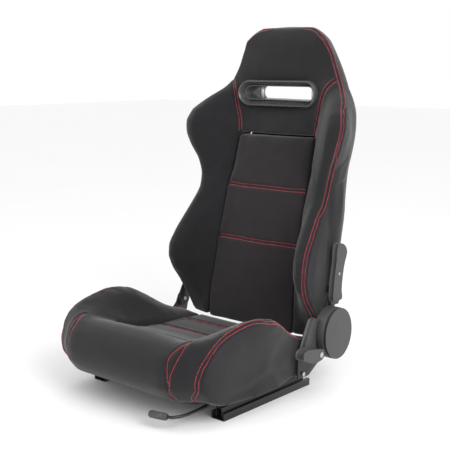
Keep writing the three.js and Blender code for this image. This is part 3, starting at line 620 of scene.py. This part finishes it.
def sew(made, name, node, seams, stitches):
    """Rows of stitches on a cover. seams is a list of (path, row offsets)."""
    tree = skin_tree(made)
    whole = bmesh.new()
    for path, offsets in seams:
        laid = on_skin(tree, path)
        for offset in offsets:
            row = []
            for i, (place, normal) in enumerate(laid):
                ahead = laid[min(i + 1, len(laid) - 1)][0] - laid[max(i - 1, 0)][0]
                beside = normal.cross(ahead).normalized()
                row.append(place + beside * offset * stitches.rows)
            places = stitch_places(evened(row, 6), stitches.pitch)
            for start in range(0, len(places), HANDFUL):
                add_stitches(whole, tree, places[start:start + HANDFUL], stitches)
    shade(whole)
    return piece(whole, name, node, finish="thread")


def stitch_places(row, pitch):
    """(middle, direction) of each stitch along a row."""
    places = []
    since = 0.0
    for a, b in zip(row, row[1:]):
        since += (b - a).length
        if since >= pitch and (b - a).length > 1e-6:
            places.append((b, (b - a).normalized()))
            since -= pitch
    return places


def add_stitches(whole, tree, places, stitches):
    """Adds a few stitches, made apart because an operator slows down as its mesh grows."""
    few = bmesh.new()
    for middle, along in places:
        place, normal, _, _ = tree.find_nearest(middle)
        out = (normal - along * normal.dot(along)).normalized()
        turn = Matrix((along, out.cross(along), out)).transposed().to_4x4()
        size = Matrix.Diagonal((stitches.length / 2, stitches.thread, stitches.thread * 0.9, 1))
        at = Matrix.Translation(place + out * stitches.thread * 0.25)
        bmesh.ops.create_uvsphere(few, u_segments=6, v_segments=5, radius=1.0, matrix=at @ turn @ size)
    mesh = bpy.data.meshes.new("few")
    few.to_mesh(mesh)
    few.free()
    whole.from_mesh(mesh)
    bpy.data.meshes.remove(mesh)


def backrest_seams():
    return both_sides(BACK_SEAM) + both_sides(HEAD_SEAM)


def make_backrest_cover(pads, stitches):
    nodes = ["head_pad", "back_wing_left", "back_wing_right"]
    cover = even_skin("backrest_cover", nodes, pads.voxel, 5, pads.start)
    seams = backrest_seams()
    lookup = near_paths(seams)
    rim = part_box("slot_bezel_front")

    def held(co):
        at_slot = rim[0].z - 0.01 < co.z < rim[1].z + 0.01 and rim[0].x - 0.01 < co.x < rim[1].x + 0.01
        return at_slot or lookup.find(co)[2] < 0.009

    swell(cover, pads, held)
    finer(cover)
    press_seams(cover, seams, pads.groove, pads.spread)
    rewrite(cover, lambda bm: shade(bm, math.radians(70)))
    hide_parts(*nodes)
    rows = [(path, (-0.5, 0.5)) for path in seams]
    sew(cover, "backrest_stitching", nodes[0], rows, stitches)


def make_back_insert(pads, stitches):
    panel = even_skin("back_insert_pad", ["back_insert"], pads.voxel, 3, pads.start * 0.6)
    low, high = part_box("back_insert")
    bands = band_paths(BACK_BANDS, lambda x, z: Vector((x, low.y, z)))
    tree = skin_tree(panel)
    front = [[forward_hit(tree, at) for at in path] for path in bands]
    lookup = near_paths(front)

    def held(co):
        return lookup.find(co)[2] < 0.007 or abs(co.x - MIDDLE) > high.x - MIDDLE - 0.012

    swell(panel, pads, held)
    finer(panel)
    press_seams(panel, front, pads.groove * 1.3, pads.spread * 1.3)
    rewrite(panel, lambda bm: shade(bm, math.radians(70)))
    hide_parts("back_insert")
    sew(panel, "back_insert_stitching", "back_insert", [(path, (-0.5, 0.5)) for path in front], stitches)


def forward_hit(tree, at):
    """Where a ray towards +Y from in front of the seat meets the panel."""
    start = Vector((at.x, -1, at.z))
    return tree.ray_cast(start, Vector((0, 1, 0)))[0] or at


def downward_hit(tree, at):
    start = Vector((at.x, at.y, 1))
    return tree.ray_cast(start, Vector((0, 0, -1)))[0] or at


def make_cushion_cover(pads, stitches):
    nodes = ["front_roll", "cushion_bolster_left", "cushion_bolster_right"]
    cover = even_skin("cushion_cover", nodes, pads.voxel, 4, pads.start)
    outer = both_sides(CUSHION_SEAM)
    gussets = [path for points in (GUSSET_INNER, GUSSET_OUTER, GUSSET_STEM) for path in both_sides(points)]
    lookup = near_paths([*outer, *gussets])
    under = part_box("cushion_frame")[1].z + 0.01

    def held(co):
        return lookup.find(co)[2] < 0.008 or co.z < under

    swell(cover, pads, held)
    finer(cover)
    press_seams(cover, outer, pads.groove, pads.spread)
    press_seams(cover, gussets, pads.groove * 0.7, pads.spread * 0.8)
    rewrite(cover, lambda bm: shade(bm, math.radians(70)))
    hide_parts(*nodes)
    seams = [(path, (-0.5, 0.5)) for path in outer] + [(path, (0,)) for path in gussets]
    sew(cover, "cushion_stitching", nodes[0], seams, stitches)


def make_cushion_insert(pads, stitches):
    panel = even_skin("cushion_insert_pad", ["cushion_insert"], pads.voxel, 3, pads.start * 0.6)
    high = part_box("cushion_insert")[1]
    bands = band_paths(CUSHION_BANDS, lambda x, y: Vector((x, y, high.z)))
    tree = skin_tree(panel)
    top = [[downward_hit(tree, at) for at in path] for path in bands]
    lookup = near_paths(top)
    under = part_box("seat_pan")[1].z + 0.004

    def held(co):
        at_side = abs(co.x - MIDDLE) > high.x - MIDDLE - 0.012
        return lookup.find(co)[2] < 0.007 or co.z < under or at_side

    swell(panel, pads, held)
    finer(panel)
    press_seams(panel, top, pads.groove * 1.3, pads.spread * 1.3)
    rewrite(panel, lambda bm: shade(bm, math.radians(70)))
    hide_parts("cushion_insert")
    sew(panel, "cushion_insert_stitching", "cushion_insert", [(path, (-0.5, 0.5)) for path in top], stitches)


def make_back_board(pads):
    board = even_skin("back_board_cover", ["back_board"], pads.voxel, 3, 0.0)
    finer(board)
    rewrite(board, lambda bm: shade(bm, math.radians(70)))
    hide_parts("back_board")


# ---------------------------------------------------------------- slot trim


SLOT_BOW = 0.020


def oval_loop(bm, half_width, half_height, centre, depth, bow):
    """A stadium-shaped loop of edges, bowed back at its ends."""
    made = bmesh.ops.create_circle(bm, segments=72, radius=half_height)
    straight = half_width - half_height
    for vert in made["verts"]:
        x, z = vert.co.x, vert.co.y
        x += math.copysign(straight, x)
        vert.co = Vector((MIDDLE + x, depth - bow * (x / half_width) ** 2, centre + z))
    return list({edge for vert in made["verts"] for edge in vert.link_edges})


def oval_sleeve(stations, centre, bow):
    """Oval loops joined into a closed ring. Each station is (half width, half height, depth)."""
    bm = bmesh.new()
    loops = [oval_loop(bm, wide, tall, centre, deep, bow) for wide, tall, deep in stations]
    for first, second in zip(loops, [*loops[1:], loops[0]]):
        bmesh.ops.bridge_loops(bm, edges=[*first, *second])
    bmesh.ops.recalc_face_normals(bm, faces=bm.faces)
    return bm


def make_slot_trim():
    low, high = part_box("slot_bezel_front")
    centre = (low.z + high.z) / 2
    wide, tall = high.x - MIDDLE, (high.z - low.z) / 2
    lip = high.y
    profile = [(0.0, 0.004), (-0.0004, -0.006), (0.0012, -0.0100), (0.0042, -0.0112), (0.0066, -0.0085),
               (0.0092, 0.004), (0.0128, 0.018), (0.0162, 0.036), (0.0182, 0.036), (0.0140, 0.012),
               (0.0098, 0.004)]
    stations = [(wide - inset, tall - inset, lip + depth) for inset, depth in profile]
    bm = oval_sleeve(stations, centre, SLOT_BOW)
    shade(bm)
    bezel = piece(bm, "slot_bezel_front_finished", "slot_bezel_front")
    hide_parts("slot_bezel_front")
    for node in ("slot_bezel_rear", "slot_liner", "slot_post_left", "slot_post_right"):
        softened(node, 0.0008)


# ---------------------------------------------------------------- recliner covers


COVER_EDGES = {"disc_cover": 0.0012, "arm_cover": 0.0009, "bracket_cover": 0.0012, "recline_lever": 0.002}


def make_recliner_covers():
    for node, edge_round in COVER_EDGES.items():
        softened(node, edge_round, 3)


def make_grip():
    """The rubber sleeve on the end of the slide lever."""
    softened("slide_lever_grip", 0.0012, 2)


def make_rails():
    for name in SIDES:
        for node in ("lower_rail", "upper_rail", "recliner_plate", "recliner_arm"):
            softened(f"{node}_{name}", 0.0005, 2)
    for node in ("cushion_frame", "seat_pan", "back_frame", "slide_lever"):
        softened(node, 0.0005, 1)


def finish_remaining():
    """Gives every CAD node that still shows its own finish."""
    for node, made in frame["nodes"].items():
        made.data.materials.clear()
        made.data.materials.append(FINISHES[SLOT[node]])


# ---------------------------------------------------------------- stage


def area_light(name, place, target, size, power):
    data = bpy.data.lights.new(name, "AREA")
    data.shape = "DISK"
    data.size = size
    data.energy = power
    light = bpy.data.objects.new(name, data)
    light.location = place
    light.rotation_euler = (Vector(target) - Vector(place)).to_track_quat("-Z", "Y").to_euler()
    bpy.context.scene.collection.objects.link(light)


def make_stage(settings):
    bm = bmesh.new()
    bmesh.ops.create_grid(bm, x_segments=8, y_segments=8, size=14)
    mesh = bpy.data.meshes.new("floor")
    bm.to_mesh(mesh)
    bm.free()
    floor = bpy.data.objects.new("floor", mesh)
    bpy.context.scene.collection.objects.link(floor)
    mesh.materials.append(FINISHES["floor"])

    world = bpy.data.worlds.new("studio")
    world.use_nodes = True
    world.node_tree.nodes["Background"].inputs["Color"].default_value = (1, 1, 1, 1)
    world.node_tree.nodes["Background"].inputs["Strength"].default_value = settings.daylight
    bpy.context.scene.world = world
    middle = (0, 0, 0.45)
    area_light("key light", (2.3, -0.8, 1.7), middle, 1.8, settings.key)
    area_light("fill light", (-1.2, -2.4, 1.6), middle, 1.6, settings.fill)

    data = bpy.data.cameras.new("camera")
    data.sensor_width = 36
    data.lens = settings.lens
    camera = bpy.data.objects.new("camera", data)
    level = math.cos(settings.elevation)
    look = Vector((-math.sin(settings.azimuth) * level, math.cos(settings.azimuth) * level,
                   -math.sin(settings.elevation)))
    camera.location = settings.camera
    camera.rotation_euler = look.to_track_quat("-Z", "Y").to_euler()
    bpy.context.scene.collection.objects.link(camera)
    bpy.context.scene.camera = camera
    bpy.context.scene.view_settings.view_transform = "Standard"


# ---------------------------------------------------------------- operators


class SEAT_OT_finishes(bpy.types.Operator):
    """Make the cloth, plastic, steel, rubber and thread finishes"""
    bl_idname = "seat.finishes"
    bl_label = "Finishes"

    def execute(self, context):
        make_finishes(context.scene.seat_finish, context.scene.seat_stitch)
        return {"FINISHED"}


class SEAT_OT_backrest_cover(bpy.types.Operator):
    """Make the sewn cover of the wings and the head"""
    bl_idname = "seat.backrest_cover"
    bl_label = "Backrest cover"

    def execute(self, context):
        make_backrest_cover(context.scene.seat_pads, context.scene.seat_stitch)
        return {"FINISHED"}


class SEAT_OT_back_insert(bpy.types.Operator):
    """Make the middle panel of the backrest"""
    bl_idname = "seat.back_insert"
    bl_label = "Back insert"

    def execute(self, context):
        make_back_insert(context.scene.seat_pads, context.scene.seat_stitch)
        return {"FINISHED"}


class SEAT_OT_cushion_cover(bpy.types.Operator):
    """Make the sewn cover of the bolsters and the front roll"""
    bl_idname = "seat.cushion_cover"
    bl_label = "Cushion cover"

    def execute(self, context):
        make_cushion_cover(context.scene.seat_pads, context.scene.seat_stitch)
        return {"FINISHED"}


class SEAT_OT_cushion_insert(bpy.types.Operator):
    """Make the middle panel of the cushion"""
    bl_idname = "seat.cushion_insert"
    bl_label = "Cushion insert"

    def execute(self, context):
        make_cushion_insert(context.scene.seat_pads, context.scene.seat_stitch)
        return {"FINISHED"}


class SEAT_OT_back_board(bpy.types.Operator):
    """Make the covered board on the rear of the backrest"""
    bl_idname = "seat.back_board"
    bl_label = "Back board"

    def execute(self, context):
        make_back_board(context.scene.seat_pads)
        return {"FINISHED"}


class SEAT_OT_slot_trim(bpy.types.Operator):
    """Make the bezels, the liner and the posts of the belt slot"""
    bl_idname = "seat.slot_trim"
    bl_label = "Slot trim"

    def execute(self, context):
        make_slot_trim()
        return {"FINISHED"}


class SEAT_OT_recliner_covers(bpy.types.Operator):
    """Make the plastic covers and the lever of the recliner"""
    bl_idname = "seat.recliner_covers"
    bl_label = "Recliner covers"

    def execute(self, context):
        make_recliner_covers()
        return {"FINISHED"}


class SEAT_OT_steelwork(bpy.types.Operator):
    """Make the rails, the frames, the brackets and the slide lever"""
    bl_idname = "seat.steelwork"
    bl_label = "Steelwork"

    def execute(self, context):
        finish_remaining()
        make_rails()
        make_grip()
        return {"FINISHED"}


class SEAT_OT_stage(bpy.types.Operator):
    """Make the floor, the lights and the camera"""
    bl_idname = "seat.stage"
    bl_label = "Stage"

    def execute(self, context):
        make_stage(context.scene.seat_stage)
        return {"FINISHED"}


OPERATORS = [
    SEAT_OT_finishes, SEAT_OT_steelwork, SEAT_OT_recliner_covers, SEAT_OT_slot_trim, SEAT_OT_backrest_cover,
    SEAT_OT_back_insert, SEAT_OT_back_board, SEAT_OT_cushion_cover, SEAT_OT_cushion_insert, SEAT_OT_stage,
]
SETTINGS = {
    "seat_pads": SeatPadSettings,
    "seat_stitch": SeatStitchSettings,
    "seat_finish": SeatFinishSettings,
    "seat_stage": SeatStageSettings,
}


class SEAT_PT_panel(bpy.types.Panel):
    """Sizes, colours and steps of the racing seat"""
    bl_idname = "SEAT_PT_panel"
    bl_label = "Racing seat"
    bl_space_type = "VIEW_3D"
    bl_region_type = "UI"
    bl_category = "Seat"

    def draw(self, context):
        for name, group in SETTINGS.items():
            box = self.layout.box()
            for setting in group.__annotations__:
                box.prop(getattr(context.scene, name), setting)
        for operator in OPERATORS:
            self.layout.operator(operator.bl_idname)


def register():
    for group in SETTINGS.values():
        bpy.utils.register_class(group)
    for operator in OPERATORS:
        bpy.utils.register_class(operator)
    bpy.utils.register_class(SEAT_PT_panel)
    for name, group in SETTINGS.items():
        setattr(bpy.types.Scene, name, PointerProperty(type=group))


def unregister():
    for name in SETTINGS:
        delattr(bpy.types.Scene, name)
    bpy.utils.unregister_class(SEAT_PT_panel)
    for operator in OPERATORS:
        bpy.utils.unregister_class(operator)
    for group in SETTINGS.values():
        bpy.utils.unregister_class(group)


def main():
    register()
    for operator in OPERATORS:
        family, name = operator.bl_idname.split(".")
        getattr(getattr(bpy.ops, family), name)()


if __name__ == "__main__":
    main()
